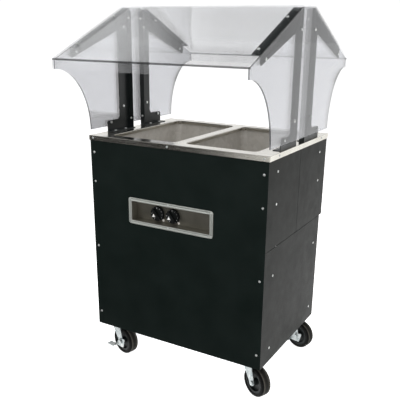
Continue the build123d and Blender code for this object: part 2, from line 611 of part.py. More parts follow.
def canopy_leg(name, side, facing):
    """Bent-plate leg: foot, post and roof arm, with flanges turned in along three edges."""
    arm_low = ARM_LOW_Z - (LEG_ARM_Y - LEG_POST_OUT) * ARM_LOW_SLOPE
    plate_x = side * LEG_IN
    with BuildPart() as leg:
        with BuildSketch(Plane.YZ.offset(plate_x)):
            with BuildLine():
                outline = FilletPolyline(
                    (facing * LEG_POST_IN, DECK_TOP),
                    (facing * LEG_FOOT_Y, DECK_TOP),
                    (facing * LEG_FOOT_Y, LEG_FOOT_TOP),
                    (facing * LEG_POST_OUT, LEG_FOOT_TOP),
                    (facing * LEG_POST_OUT, ARM_LOW_Z),
                    (facing * LEG_ARM_Y, arm_low),
                    (facing * LEG_ARM_Y, roof_under(LEG_ARM_Y)),
                    (facing * PLATEAU_Y, roof_under(PLATEAU_Y)),
                    (facing * LEG_POST_IN, roof_under(PLATEAU_Y)),
                    radius=[0.5, 9, 20, 8, 9, 0.5, 0.5],
                )
                Line(outline @ 1, outline @ 0)
            make_face()
            with Locations(*[(facing * y, z) for y, z in PANEL_BOLTS]):
                Circle(BOLT_R, mode=Mode.SUBTRACT)
        extrude(amount=side * LEG_T)
        with BuildSketch(Plane.YZ.offset(plate_x)):
            with BuildLine():
                Polyline(
                    (facing * (LEG_ARM_Y - 2), roof_under(LEG_ARM_Y - 2)),
                    (facing * (PLATEAU_Y + 4), roof_under(PLATEAU_Y + 4)),
                    (facing * (PLATEAU_Y + 4), roof_under(PLATEAU_Y + 4) - LEG_T),
                    (facing * (LEG_ARM_Y - 2), roof_under(LEG_ARM_Y - 2) - LEG_T),
                    close=True,
                )
            make_face()
        extrude(amount=-side * ARM_FLANGE_W)
        with BuildSketch(Plane.XY.offset(DECK_TOP)):
            with Locations((side * (LEG_IN - EDGE_FLANGE_W / 2), facing * (LEG_POST_IN + LEG_T / 2))):
                Rectangle(EDGE_FLANGE_W, LEG_T)
        extrude(amount=roof_under(PLATEAU_Y) - DECK_TOP - 8)
        with BuildSketch(Plane.XY.offset(DECK_TOP)):
            foot_mid = (LEG_FOOT_Y + LEG_POST_IN) / 2
            with Locations((side * (LEG_IN - FOOT_FLANGE_W / 2), facing * foot_mid)):
                Rectangle(FOOT_FLANGE_W, LEG_FOOT_Y - LEG_POST_IN)
            with Locations(*[(side * FOOT_BOLT_X, facing * y) for y in FOOT_BOLT_Y]):
                Circle(BOLT_R, mode=Mode.SUBTRACT)
        extrude(amount=LEG_T)
        with BuildSketch(Plane.XZ.offset(-facing * LEG_POST_IN)):
            with Locations(*[(side * TIE_BOLT_X, z) for z in TIE_BOLT_Z]):
                Circle(BOLT_R)
        extrude(amount=-facing * LEG_T, mode=Mode.SUBTRACT)
        for y in ROOF_BOLT_Y:
            bolt_plane = Plane(
                origin=(side * ROOF_BOLT_X, facing * y, roof_under(y)),
                x_dir=(1, 0, 0),
                z_dir=(0, facing * math.sin(math.radians(ROOF_ANGLE)), math.cos(math.radians(ROOF_ANGLE))),
            )
            with BuildSketch(bolt_plane):
                Circle(BOLT_R)
            extrude(amount=-2 * LEG_T, mode=Mode.SUBTRACT)
    save(leg.part, name)


for side_name, side in (("left", -1), ("right", 1)):
    for facing_name, facing in (("front", -1), ("rear", 1)):
        canopy_leg(f"canopy_leg_{side_name}_{facing_name}", side, facing)


# ---------------------------------------------------------------- fasteners
def add_fastener(plane, grip, shank_r, head_r, head_h, nut=True):
    """Domed head on the plane, shank down through the grip, hexagon nut behind it."""
    tail = grip + (NUT_H + 1 if nut else 0)
    with BuildSketch(plane.offset(-tail)) as shank:
        Circle(shank_r)
    extrude(shank.sketch, amount=tail)
    with BuildSketch(plane) as head:
        Circle(head_r)
    extrude(head.sketch, amount=head_h, taper=24)
    if nut:
        with BuildSketch(plane.offset(-grip - NUT_H)) as hexagon:
            RegularPolygon(head_r, 6)
        extrude(hexagon.sketch, amount=NUT_H)


def face_plane(point, normal):
    x_dir = (0, 0, 1) if abs(normal[2]) < 0.5 else (1, 0, 0)
    return Plane(origin=point, x_dir=x_dir, z_dir=normal)


with BuildPart() as canopy_bolts:
    for i in (-1, 1):
        for j in (-1, 1):
            for y, z in PANEL_BOLTS:
                add_fastener(face_plane((i * END_OUT, j * y, z), (i, 0, 0)), PANE_T + LEG_T,
                             BOLT_R, BOLT_HEAD_R, BOLT_HEAD_H)
            for z in TIE_BOLT_Z:
                add_fastener(face_plane((i * TIE_BOLT_X, j * (LEG_POST_IN + LEG_T), z), (0, j, 0)), LEG_T,
                             BOLT_R, BOLT_HEAD_R - 1, BOLT_HEAD_H)
            for y in ROOF_BOLT_Y:
                normal = (0, j * math.sin(math.radians(ROOF_ANGLE)), math.cos(math.radians(ROOF_ANGLE)))
                top = roof_under(y)
                point = (i * ROOF_BOLT_X, j * y + normal[1] * PANE_T, top + normal[2] * PANE_T)
                add_fastener(Plane(origin=point, x_dir=(1, 0, 0), z_dir=normal),
                             PANE_T + LEG_T * math.cos(math.radians(ROOF_ANGLE)),
                             BOLT_R, BOLT_HEAD_R, BOLT_HEAD_H)
save(canopy_bolts.part, "canopy_bolts")

with BuildPart() as foot_bolts:
    for i in (-1, 1):
        for j in (-1, 1):
            for y in FOOT_BOLT_Y:
                add_fastener(face_plane((i * FOOT_BOLT_X, j * y, DECK_TOP + LEG_T), (0, 0, 1)), LEG_T + PANEL_T,
                             BOLT_R, BOLT_HEAD_R, BOLT_HEAD_H)
save(foot_bolts.part, "foot_bolts")

with BuildPart() as cabinet_screws:
    for i in (-1, 1):
        for z in SCREW_ROWS:
            add_fastener(face_plane((i * FRONT_SCREW_X, -HALF_D, z), (0, -1, 0)), PANEL_T + POST_T,
                         SCREW_R, SCREW_HEAD_R, SCREW_HEAD_H, nut=False)
            for j in (-1, 1):
                add_fastener(face_plane((i * HALF_W, j * SIDE_SCREW_Y, z), (i, 0, 0)), PANEL_T + POST_T,
                             SCREW_R, SCREW_HEAD_R, SCREW_HEAD_H, nut=False)
        for j in (-1, 1):
            add_fastener(face_plane((i * (HALF_W + RIM_T), j * SIDE_SCREW_Y, RIM_SCREW_Z), (i, 0, 0)),
                         RIM_T + PANEL_T + POST_T, SCREW_R, SCREW_HEAD_R - 0.6, SCREW_HEAD_H, nut=False)
    for j in (-1, 1):
        for x in RIM_SCREW_XS:
            add_fastener(face_plane((x, j * (HALF_D + RIM_T), RIM_SCREW_Z), (0, j, 0)), RIM_T + PANEL_T,
                         SCREW_R, SCREW_HEAD_R - 0.6, SCREW_HEAD_H, nut=False)
    bezel_half = (RECESS_W + BEZEL_W) / 2
    for x in (RECESS_X - bezel_half, MID_SCREW_X, RECESS_X + bezel_half):
        for j in (-1, 1):
            point = (x, -HALF_D - TRAY_T, RECESS_Z + j * (RECESS_H + BEZEL_W) / 2)
            add_fastener(face_plane(point, (0, -1, 0)), TRAY_T + PANEL_T, SCREW_R, SCREW_HEAD_R - 0.6,
                         SCREW_HEAD_H, nut=False)
save(cabinet_screws.part, "cabinet_screws")

# ---------------------------------------------------------------- casters
PLATE_Z = FRAME_Z - PLATE_T
CUP_Z = PLATE_Z - 8.0
RACE_Z = CUP_Z - 0.5
CROWN_Z = 131.0
CASTER_POINTS = [(i * CASTER_X, j * CASTER_Y) for j in (-1, 1) for i in (-1, 1)]

with BuildPart() as caster_top_plates:
    with BuildSketch(Plane.XY.offset(PLATE_Z)):
        with Locations(*CASTER_POINTS):
            RectangleRounded(PLATE_L, PLATE_W, 8)
            with GridLocations(PLATE_L - 19, PLATE_W - 19, 2, 2):
                Circle(BOLT_R, mode=Mode.SUBTRACT)
    extrude(amount=PLATE_T)
    with BuildSketch(Plane.XY.offset(CUP_Z)):
        with Locations(*CASTER_POINTS):
            Circle(28)
    extrude(amount=PLATE_Z - CUP_Z)
    with BuildSketch(Plane.XY.offset(CUP_Z)):
        with Locations(*CASTER_POINTS):
            Circle(KINGPIN_R + RUNNING_GAP)
    extrude(amount=FRAME_Z - CUP_Z, mode=Mode.SUBTRACT)
save(caster_top_plates.part, "caster_top_plates")

with BuildPart() as caster_plate_bolts:
    for x, y in CASTER_POINTS:
        for i in (-1, 1):
            for j in (-1, 1):
                point = (x + i * (PLATE_L - 19) / 2, y + j * (PLATE_W - 19) / 2, PLATE_Z)
                add_fastener(face_plane(point, (0, 0, -1)), PLATE_T + FRAME_T, BOLT_R, BOLT_HEAD_R, BOLT_HEAD_H)
save(caster_plate_bolts.part, "caster_plate_bolts")


def caster(tag, x, y, swivel_deg, braked):
    """Swivel fork, wheel, tyre, axle and, on two of them, a side-lock brake pedal."""
    turn = math.radians(swivel_deg)
    ahead = (math.cos(turn), math.sin(turn), 0)
    across = (math.sin(turn), -math.cos(turn), 0)
    side_plane = Plane(origin=(x, y, 0), x_dir=ahead, z_dir=across)
    top_plane = Plane(origin=(x, y, 0), x_dir=ahead, z_dir=(0, 0, 1))
    axle_plane = Plane(
        origin=(x + CASTER_TRAIL * ahead[0], y + CASTER_TRAIL * ahead[1], WHEEL_R), x_dir=ahead, z_dir=across
    )
    with BuildPart() as fork:
        for hand in (-1, 1):
            with BuildSketch(side_plane.offset(hand * FORK_IN)):
                with Locations((CASTER_TRAIL, WHEEL_R)):
                    Circle(13)
                with Locations((2, CROWN_Z + 1)):
                    Rectangle(52, 8)
                make_hull()
                with Locations((CASTER_TRAIL, WHEEL_R)):
                    Circle(AXLE_R, mode=Mode.SUBTRACT)
            extrude(amount=hand * FORK_T)
        with BuildSketch(top_plane.offset(CROWN_Z)):
            with Locations((2, 0)):
                Rectangle(52, 2 * FORK_OUT)
        extrude(amount=4)
        with BuildSketch(top_plane.offset(CROWN_Z + 4)):
            Circle(28)
        extrude(amount=RACE_Z - CROWN_Z - 4, taper=-6)
        with BuildSketch(top_plane.offset(RACE_Z)):
            Circle(KINGPIN_R)
        extrude(amount=FRAME_Z - 1 - RACE_Z)
    save(fork.part, f"caster_fork_{tag}")

    with BuildPart() as wheel_core:
        with BuildSketch(axle_plane.offset(-HUB_HALF)):
            Circle(15)
        extrude(amount=2 * HUB_HALF)
        with BuildSketch(axle_plane.offset(-8)):
            Circle(CORE_R - 8)
        extrude(amount=16)
        with BuildSketch(axle_plane.offset(-RIM_HALF)):
            Circle(CORE_R)
            Circle(CORE_R - 10, mode=Mode.SUBTRACT)
        extrude(amount=2 * RIM_HALF)
        with BuildSketch(axle_plane.offset(-HUB_HALF)):
            Circle(AXLE_R + RUNNING_GAP)
        extrude(amount=2 * HUB_HALF, mode=Mode.SUBTRACT)
    save(wheel_core.part, f"wheel_core_{tag}")

    with BuildPart() as tyre:
        with BuildSketch(axle_plane.offset(-WHEEL_HALF_T)):
            Circle(WHEEL_R)
        extrude(amount=2 * WHEEL_HALF_T)
        outer_edges = tyre.edges().filter_by(GeomType.CIRCLE)
        fillet(outer_edges, radius=SHOULDER_R)
        with BuildSketch(axle_plane.offset(-WHEEL_HALF_T)):
            Circle(CORE_R)
        extrude(amount=2 * WHEEL_HALF_T, mode=Mode.SUBTRACT)
    save(tyre.part, f"tyre_{tag}")

    pedal_room = PEDAL_T + 1.5 if braked else 0
    with BuildPart() as axle:
        with BuildSketch(axle_plane.offset(-FORK_OUT - 6)):
            RegularPolygon(10.5, 6)
        extrude(amount=6)
        with BuildSketch(axle_plane.offset(-FORK_OUT)):
            Circle(AXLE_R)
        extrude(amount=2 * FORK_OUT + pedal_room)
        with BuildSketch(axle_plane.offset(FORK_OUT + pedal_room)):
            Circle(10.5)
        extrude(amount=5, taper=12)
    save(axle.part, f"caster_axle_{tag}")

    if braked:
        with BuildPart() as pedal:
            with BuildSketch(axle_plane.offset(FORK_OUT + 0.75)):
                Circle(13)
                with Locations(*PEDAL_CORNERS):
                    Circle(5)
                make_hull()
                Circle(AXLE_R + RUNNING_GAP, mode=Mode.SUBTRACT)
            extrude(amount=PEDAL_T)
            with BuildSketch(axle_plane.offset(FORK_OUT + 0.75)):
                with Locations((-48, -25)):
                    Rectangle(44, PEDAL_T, rotation=4)
            extrude(amount=PEDAL_WIDTH)
        save(pedal.part, f"brake_pedal_{tag}")


caster("front_left", -CASTER_X, -CASTER_Y, -14, True)
caster("front_right", CASTER_X, -CASTER_Y, -25, False)
caster("rear_left", -CASTER_X, CASTER_Y, -28, False)
caster("rear_right", CASTER_X, CASTER_Y, -14, True)
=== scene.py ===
"""Looks for the portable steam table: camera, studio, materials and the detailed pieces.

Metres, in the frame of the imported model.  The front (control side) faces -Y.
"""
import bpy
import bmesh
import math
import random
from mathutils import Matrix, Vector


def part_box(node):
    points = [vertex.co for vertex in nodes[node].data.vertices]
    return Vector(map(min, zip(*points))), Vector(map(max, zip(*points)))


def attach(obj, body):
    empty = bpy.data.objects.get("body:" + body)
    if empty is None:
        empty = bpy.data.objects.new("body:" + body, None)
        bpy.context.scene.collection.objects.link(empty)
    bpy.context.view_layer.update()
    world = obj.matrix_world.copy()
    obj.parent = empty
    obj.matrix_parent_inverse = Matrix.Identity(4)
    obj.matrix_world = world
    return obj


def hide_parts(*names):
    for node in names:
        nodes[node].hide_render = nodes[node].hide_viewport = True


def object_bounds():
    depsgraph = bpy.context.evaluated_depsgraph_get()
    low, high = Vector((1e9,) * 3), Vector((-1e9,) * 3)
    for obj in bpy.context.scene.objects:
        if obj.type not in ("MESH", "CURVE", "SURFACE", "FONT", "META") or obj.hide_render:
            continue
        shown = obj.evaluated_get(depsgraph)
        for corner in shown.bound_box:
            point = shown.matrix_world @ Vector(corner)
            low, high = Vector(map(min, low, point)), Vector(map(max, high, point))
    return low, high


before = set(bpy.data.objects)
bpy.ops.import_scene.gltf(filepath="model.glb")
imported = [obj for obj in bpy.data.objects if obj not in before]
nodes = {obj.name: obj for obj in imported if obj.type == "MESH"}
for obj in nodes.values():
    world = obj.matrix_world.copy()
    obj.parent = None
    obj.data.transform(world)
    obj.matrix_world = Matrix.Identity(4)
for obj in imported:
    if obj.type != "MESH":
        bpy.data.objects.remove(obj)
cad_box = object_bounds()

# ---------------------------------------------------------------- driving numbers
CABINET_X = -0.015  # middle of the cabinet in the shared frame
CAMERA_POS = (1.2129, -2.2011, 1.421)
CAMERA_YAW = -0.507  # radians, about +Z from +Y
CAMERA_PITCH = -0.326
CAMERA_ROLL = 0.016
CAMERA_LENS = 53.54
CAMERA_SHIFT = (-0.0283, 0.0816)
FLOOR_GLOW = 0.9

# Positions and sizes that the fasteners share with the CAD, about the middle of the cabinet
HALF_W, HALF_D = 0.404, 0.305
DECK_TOP = 1.010
RIM_T, PANEL_T, TRAY_T = 0.004, 0.0015, 0.0015
PANE_T, LEG_T = 0.006, 0.0025
NUT_H = 0.004
EAVE_Y, EAVE_Z = 0.495, 1.318
ROOF_ANGLE = math.atan2(1.516 - EAVE_Z, EAVE_Y - 0.060)
END_OUT = 0.404
PANEL_BOLTS = ((0.088, 1.108), (0.176, 1.048), (0.072, 1.434), (0.372, 1.339))
TIE_BOLT_X, TIE_BOLT_Y, TIE_BOLT_Z = 0.386, 0.0445, (1.052, 1.470)
ROOF_BOLT_X, ROOF_BOLT_Y = 0.380, (0.150, 0.378)
FOOT_BOLT_X, FOOT_BOLT_Y = 0.381, (0.165, 0.095)
SCREW_ROWS = (0.941, 0.817, 0.530, 0.215)
FRONT_SCREW_X, MID_SCREW_X, SIDE_SCREW_Y = 0.386, -0.024, 0.224
RIM_SCREW_Z = 1.000
RECESS_X, RECESS_Z = -0.017, 0.718
BEZEL_SCREW_X, BEZEL_SCREW_Z = 0.191, 0.048
SEAM_Z = 0.645
SEAM_LIP_X = 0.4023  # just behind the side panels' inner faces
SEAM_LIP_Y = -0.0125
SEAM_LIP_HALF = (0.0006, 0.186, 0.009)  # half sizes, between the corner posts
BEZEL_R = 0.011
# inset from the flange's edge, and height above it: two rolled beads with a groove between
BEAD_PROFILE = (
    (0.0002, 0.0), (0.0008, 0.0010), (0.0022, 0.0014), (0.0046, 0.0014), (0.0060, 0.0010), (0.0070, 0.0002),
    (0.0090, 0.0002), (0.0100, 0.0010), (0.0114, 0.0014), (0.0134, 0.0014), (0.0148, 0.0010), (0.0154, 0.0),
)
# head radius, head height and shank radius
BOLT = (0.0058, 0.0032, 0.003)
SMALL_BOLT = (0.0048, 0.0032, 0.003)
SCREW = (0.005, 0.0022, 0.0022)
SMALL_SCREW = (0.0044, 0.0022, 0.0022)
# length of each kind of screw below its head
PANEL_SCREW_L, BEZEL_SCREW_L = 0.0035, 0.003
RIM_SIDE_SCREW_L, RIM_FRONT_SCREW_L = 0.0075, 0.0055
# radii of a pan head's rings, from its rim in, as shares of the head's radius
HEAD_RINGS = (0.98, 0.92, 0.8, 0.68, 0.56, 0.53, 0.42, 0.3, 0.2, 0.13)
FASTENER_SEED = 7

TYRE_HALF_W = 0.023
# tyre tone against the distance from the wheel's middle plane, as a share of the half width; the lighter
# band from 0.55 to 0.64 is a painted highlight on the tread's shoulders
TYRE_TONES_WITH_PAINTED_HIGHLIGHT = (
    (0.00, (0.012, 0.011, 0.010)),
    (0.35, (0.020, 0.019, 0.016)),
    (0.55, (0.075, 0.070, 0.060)),
    (0.64, (0.060, 0.056, 0.048)),
    (0.70, (0.004, 0.004, 0.004)),
    (0.92, (0.003, 0.003, 0.003)),
    (1.00, (0.010, 0.010, 0.009)),
)
# each caster's swivel angle at rest, in degrees
SWIVEL_TURNS = {"front_left": -14, "front_right": -25, "rear_left": -28, "rear_right": -14}
KNOB_GRIP = 0.0119  # from the grip's face back to just proud of the skirt
DIAL_TICKS = 11
DIAL_START, DIAL_SWEEP = -60, 300  # degrees
LONG_TICK_EVERY = 5
TICK_OUT, TICK_IN, LONG_TICK_IN = 0.90, 0.78, 0.70  # ends of the ticks, in knob radii
TICK_HALF_W, TICK_T = 0.00035, 0.0002
POINTER_AT = (-0.52, -0.30)  # middle of the pointer, in knob radii
POINTER_SIZE, POINTER_T = 0.0076, 0.0004


# ---------------------------------------------------------------- camera
def make_camera():
    """Three-quarter view from the front right, from above the deck."""
    data = bpy.data.cameras.new("camera")
    data.lens = CAMERA_LENS
    data.sensor_width = 36.0
    data.shift_x, data.shift_y = CAMERA_SHIFT
    data.clip_start, data.clip_end = 0.05, 200.0
    camera = bpy.data.objects.new("camera", data)
    bpy.context.scene.collection.objects.link(camera)
    forward = Vector((
        math.sin(CAMERA_YAW) * math.cos(CAMERA_PITCH),
        math.cos(CAMERA_YAW) * math.cos(CAMERA_PITCH),
        math.sin(CAMERA_PITCH),
    ))
    level_right = Vector((math.cos(CAMERA_YAW), -math.sin(CAMERA_YAW), 0))
    level_up = level_right.cross(forward)
    right = level_right * math.cos(CAMERA_ROLL) + level_up * math.sin(CAMERA_ROLL)
    up = level_up * math.cos(CAMERA_ROLL) - level_right * math.sin(CAMERA_ROLL)
    turn = Matrix((right, up, -forward)).transposed()
    camera.matrix_world = Matrix.Translation(CAMERA_POS) @ turn.to_4x4()
    bpy.context.scene.camera = camera


# ---------------------------------------------------------------- node helpers
def new_material(name):
    """A new material, with its node tree and its Principled shader."""
    material = bpy.data.materials.new(name)
    material.use_nodes = True
    tree = material.node_tree
    shader = tree.nodes["Principled BSDF"]
    return material, tree, shader


def object_coords(tree, scale=(1, 1, 1)):
    """Object coordinates in metres, stretched by scale."""
    coords = tree.nodes.new("ShaderNodeTexCoord")
    mapping = tree.nodes.new("ShaderNodeMapping")
    mapping.inputs["Scale"].default_value = scale
    tree.links.new(coords.outputs["Object"], mapping.inputs["Vector"])
    return mapping.outputs["Vector"]


def noise(tree, vector, scale, detail=3.0, roughness=0.55):
    """Factor of a noise texture."""
    node = tree.nodes.new("ShaderNodeTexNoise")
    node.inputs["Scale"].default_value = scale
    node.inputs["Detail"].default_value = detail
    node.inputs["Roughness"].default_value = roughness
    tree.links.new(vector, node.inputs["Vector"])
    return node.outputs["Fac"]


def ramp(tree, factor, stops):
    """Colour ramp through (position, (r, g, b)) stops."""
    node = tree.nodes.new("ShaderNodeValToRGB")
    elements = node.color_ramp.elements
    while len(elements) < len(stops):
        elements.new(0.5)
    for element, (position, colour) in zip(elements, stops):
        element.position = position
        element.color = (*colour, 1.0)
    tree.links.new(factor, node.inputs["Fac"])
    return node.outputs["Color"]


def spread(tree, factor, low, high, at=(0.3, 0.7)):
    """Maps a noise factor on to a range of one number, such as roughness."""
    node = tree.nodes.new("ShaderNodeMapRange")
    node.inputs["From Min"].default_value = at[0]
    node.inputs["From Max"].default_value = at[1]
    node.inputs["To Min"].default_value = low
    node.inputs["To Max"].default_value = high
    tree.links.new(factor, node.inputs["Value"])
    return node.outputs["Result"]


def bump(tree, height, strength, distance, shader):
    """Tilts the shader's normals by a height pattern."""
    node = tree.nodes.new("ShaderNodeBump")
    node.inputs["Strength"].default_value = strength
    node.inputs["Distance"].default_value = distance
    tree.links.new(height, node.inputs["Height"])
    tree.links.new(node.outputs["Normal"], shader.inputs["Normal"])


# ---------------------------------------------------------------- materials
def powder_coat(name, dark, light, specular, rough):
    """Satin black powder coat: orange peel, faint mottling and uneven gloss."""
    material, tree, shader = new_material(name)
    vector = object_coords(tree)
    mottle = noise(tree, vector, 9.0, 4.0)
    tree.links.new(ramp(tree, mottle, [(0.3, dark), (0.7, light)]), shader.inputs["Base Color"])
    gloss = noise(tree, vector, 22.0)
    tree.links.new(spread(tree, gloss, rough - 0.04, rough + 0.05), shader.inputs["Roughness"])
    shader.inputs["Specular IOR Level"].default_value = specular
    bump(tree, noise(tree, vector, 850.0, 2.0), 0.25, 0.0002, shader)
    return material


def brushed_steel(name, stretch, dark, light, rough, metallic=1.0):
    """Stainless sheet with a grain along the axis whose stretch is small."""
    material, tree, shader = new_material(name)
    grain = noise(tree, object_coords(tree, stretch), 3.0, 6.0, 0.7)
    smears = noise(tree, object_coords(tree), 7.0, 3.0)
    tree.links.new(ramp(tree, smears, [(0.25, dark), (0.75, light)]), shader.inputs["Base Color"])
    tree.links.new(spread(tree, grain, rough - 0.04, rough + 0.06), shader.inputs["Roughness"])
    shader.inputs["Metallic"].default_value = metallic
    bump(tree, grain, 0.10, 0.0002, shader)
    return material


def galvanised(name, dark, light):
    """Zinc-dipped sheet with its crystal spangle."""
    material, tree, shader = new_material(name)
    cells = tree.nodes.new("ShaderNodeTexVoronoi")
    cells.inputs["Scale"].default_value = 60.0
    tree.links.new(object_coords(tree), cells.inputs["Vector"])
    tone = tree.nodes.new("ShaderNodeSeparateColor")
    tree.links.new(cells.outputs["Color"], tone.inputs["Color"])
    spangle = ramp(tree, tone.outputs["Red"], [(0.0, dark), (1.0, light)])
    tree.links.new(spangle, shader.inputs["Base Color"])
    tree.links.new(spread(tree, tone.outputs["Green"], 0.32, 0.55, (0, 1)), shader.inputs["Roughness"])
    shader.inputs["Metallic"].default_value = 0.35
    return material


def zinc_plate(name, dark, light):
    """Bright zinc plate with a faint cloudy passivation."""
    material, tree, shader = new_material(name)
    cloud = noise(tree, object_coords(tree), 60.0, 4.0)
    stops = [(0.3, dark), (0.7, light)]
    tree.links.new(ramp(tree, cloud, stops), shader.inputs["Base Color"])
    tree.links.new(spread(tree, cloud, 0.24, 0.38), shader.inputs["Roughness"])
    shader.inputs["Metallic"].default_value = 0.75
    return material


def acrylic(name, tint, mirror_low, mirror_high, normal_axis, tone_stops):
    """Clear sheet: tinted see-through, with a polished face that mirrors more at a glancing angle.

    tone_stops are (how far a face looks along normal_axis, share of the tint): they darken the sheet
    where light has a longer way through it, at its cut edges and along a tight bend.
    """
    material, tree, shader = new_material(name)
    output = tree.nodes["Material Output"]
    clear = tree.nodes.new("ShaderNodeBsdfTransparent")
    coords = tree.nodes.new("ShaderNodeTexCoord")
    split = tree.nodes.new("ShaderNodeSeparateXYZ")
    tree.links.new(coords.outputs["Normal"], split.inputs["Vector"])
    along = tree.nodes.new("ShaderNodeMath")
    along.operation = "ABSOLUTE"
    tree.links.new(split.outputs[normal_axis], along.inputs[0])
    stops = [(position, tuple(share * channel for channel in tint)) for position, share in tone_stops]
    tree.links.new(ramp(tree, along.outputs["Value"], stops), clear.inputs["Color"])
    shader.inputs["Base Color"].default_value = (0.85, 0.86, 0.87, 1.0)
    shader.inputs["Metallic"].default_value = 1.0
    haze = noise(tree, object_coords(tree), 14.0, 4.0)
    tree.links.new(spread(tree, haze, 0.03, 0.09), shader.inputs["Roughness"])
    facing = tree.nodes.new("ShaderNodeFresnel")
    facing.inputs["IOR"].default_value = 1.49
    share = spread(tree, facing.outputs["Fac"], mirror_low, mirror_high, (0.04, 0.5))
    mix = tree.nodes.new("ShaderNodeMixShader")
    tree.links.new(share, mix.inputs["Fac"])
    tree.links.new(clear.outputs["BSDF"], mix.inputs[1])
    tree.links.new(shader.outputs["BSDF"], mix.inputs[2])
    tree.links.new(mix.outputs["Shader"], output.inputs["Surface"])
    return material


def moulded(name, dark, light, rough, grain=300.0, specular=0.3):
    """Moulded plastic, or thick paint, with a fine grain."""
    material, tree, shader = new_material(name)
    vector = object_coords(tree)
    mottle = noise(tree, vector, 35.0, 4.0)
    tree.links.new(ramp(tree, mottle, [(0.3, dark), (0.7, light)]), shader.inputs["Base Color"])
    gloss = noise(tree, vector, 90.0)
    tree.links.new(spread(tree, gloss, rough - 0.08, rough + 0.08), shader.inputs["Roughness"])
    shader.inputs["Specular IOR Level"].default_value = specular
    bump(tree, noise(tree, vector, grain, 2.0), 0.3, 0.0002, shader)
    return material


def tyre_rubber(name, centre, turn):
    """Black tyre with dust and a painted highlight band on the tread's shoulders: the pattern follows the
    distance from the wheel's middle plane.
    """
    material, tree, shader = new_material(name)
    coords = tree.nodes.new("ShaderNodeTexCoord")
    local = tree.nodes.new("ShaderNodeMapping")
    local.vector_type = "TEXTURE"
    local.inputs["Location"].default_value = centre
    local.inputs["Rotation"].default_value = (0, 0, turn)
    tree.links.new(coords.outputs["Object"], local.inputs["Vector"])
    split = tree.nodes.new("ShaderNodeSeparateXYZ")
    tree.links.new(local.outputs["Vector"], split.inputs["Vector"])
    across = tree.nodes.new("ShaderNodeMath")
    across.operation = "ABSOLUTE"
    tree.links.new(split.outputs["Y"], across.inputs[0])
    share = spread(tree, across.outputs["Value"], 0.0, 1.0, (0.0, TYRE_HALF_W))
    pattern = ramp(tree, share, TYRE_TONES_WITH_PAINTED_HIGHLIGHT)
    dust = noise(tree, object_coords(tree), 130.0, 5.0)
    # the tones, with their painted shoulder highlight, multiplied by the dust noise
    dust_and_highlight = tree.nodes.new("ShaderNodeMix")
    dust_and_highlight.data_type = "RGBA"
    dust_and_highlight.blend_type = "MULTIPLY"
    dust_and_highlight.inputs["Factor"].default_value = 0.7
    tree.links.new(pattern, dust_and_highlight.inputs["A"])
    tree.links.new(ramp(tree, dust, [(0.3, (0.5, 0.5, 0.5)), (0.7, (1, 1, 1))]), dust_and_highlight.inputs["B"])
    tree.links.new(dust_and_highlight.outputs["Result"], shader.inputs["Base Color"])
    tree.links.new(spread(tree, dust, 0.55, 0.75), shader.inputs["Roughness"])
    shader.inputs["Specular IOR Level"].default_value = 0.08
    bump(tree, noise(tree, object_coords(tree), 600.0, 2.0), 0.3, 0.0002, shader)
    return material


def lit_lens(name):
    """Pilot lamp lens: pale, glossy, a little milky."""
    material, tree, shader = new_material(name)
    vector = object_coords(tree)
    stops = [(0.3, (0.72, 0.69, 0.62)), (0.7, (0.95, 0.93, 0.88))]
    tree.links.new(ramp(tree, noise(tree, vector, 240.0), stops), shader.inputs["Base Color"])
    shader.inputs["Roughness"].default_value = 0.12
    shader.inputs["Coat Weight"].default_value = 0.6
    return material


def glass_wool(name):
    """Yellow glass wool with a fibrous surface."""
    material, tree, shader = new_material(name)
    vector = object_coords(tree)
    fibres = noise(tree, vector, 260.0, 6.0, 0.8)
    stops = [(0.3, (0.48, 0.38, 0.14)), (0.7, (0.86, 0.76, 0.42))]
    tree.links.new(ramp(tree, fibres, stops), shader.inputs["Base Color"])
    shader.inputs["Roughness"].default_value = 0.95
    bump(tree, fibres, 0.8, 0.003, shader)
    return material


FRONT_BLACK = powder_coat("powder_coat_front", (0.003, 0.0062, 0.0052), (0.0048, 0.0085, 0.0074), 0.1, 0.42)
# Same black powder coat as the front copy; its lighter base colour is painted light, standing in for the
# side panels' brighter look.
SIDE_BLACK_PAINTED_LIGHTER = powder_coat("powder_coat_side_painted_lighter", (0.006, 0.0072, 0.006), (0.0088, 0.0095, 0.0082), 0.036, 0.36)
LEG_BLACK = powder_coat("powder_coat_leg", (0.004, 0.006, 0.006), (0.008, 0.010, 0.010), 0.30, 0.34)
DECK_STEEL = brushed_steel("deck_steel", (2, 160, 160), (0.50, 0.48, 0.43), (0.70, 0.68, 0.62), 0.17)
TRAY_STEEL = brushed_steel("tray_steel", (4, 110, 110), (0.15, 0.142, 0.115), (0.25, 0.238, 0.2), 0.32, 0.8)
GALVANISED = galvanised("galvanised_sheet", (0.36, 0.38, 0.40), (0.62, 0.64, 0.66))
WELL_ZINC = galvanised("galvanised_well", (0.45, 0.43, 0.395), (0.52, 0.50, 0.465))
BEAD_STEEL = brushed_steel("bead_steel", (40, 40, 40), (0.42, 0.44, 0.41), (0.58, 0.60, 0.56), 0.30, 0.72)
PAINT = moulded("white_marking", (0.72, 0.72, 0.70), (0.86, 0.86, 0.84), 0.5)
ZINC = zinc_plate("zinc_plate", (0.50, 0.52, 0.52), (0.78, 0.79, 0.77))
CASTER_ZINC = zinc_plate("caster_zinc", (0.26, 0.30, 0.31), (0.58, 0.60, 0.59))
BEND_TONES = ((0.05, 1.0), (0.22, 0.30), (0.70, 0.30), (0.86, 1.0))
EDGE_TONES = ((0.3, 0.45), (0.7, 1.0))
ROOF_ACRYLIC = acrylic("acrylic_roof", (0.975, 0.975, 0.978), 0.04, 0.40, "Z", BEND_TONES)
END_ACRYLIC = acrylic("acrylic_end", (0.905, 0.902, 0.915), 0.04, 0.75, "X", EDGE_TONES)
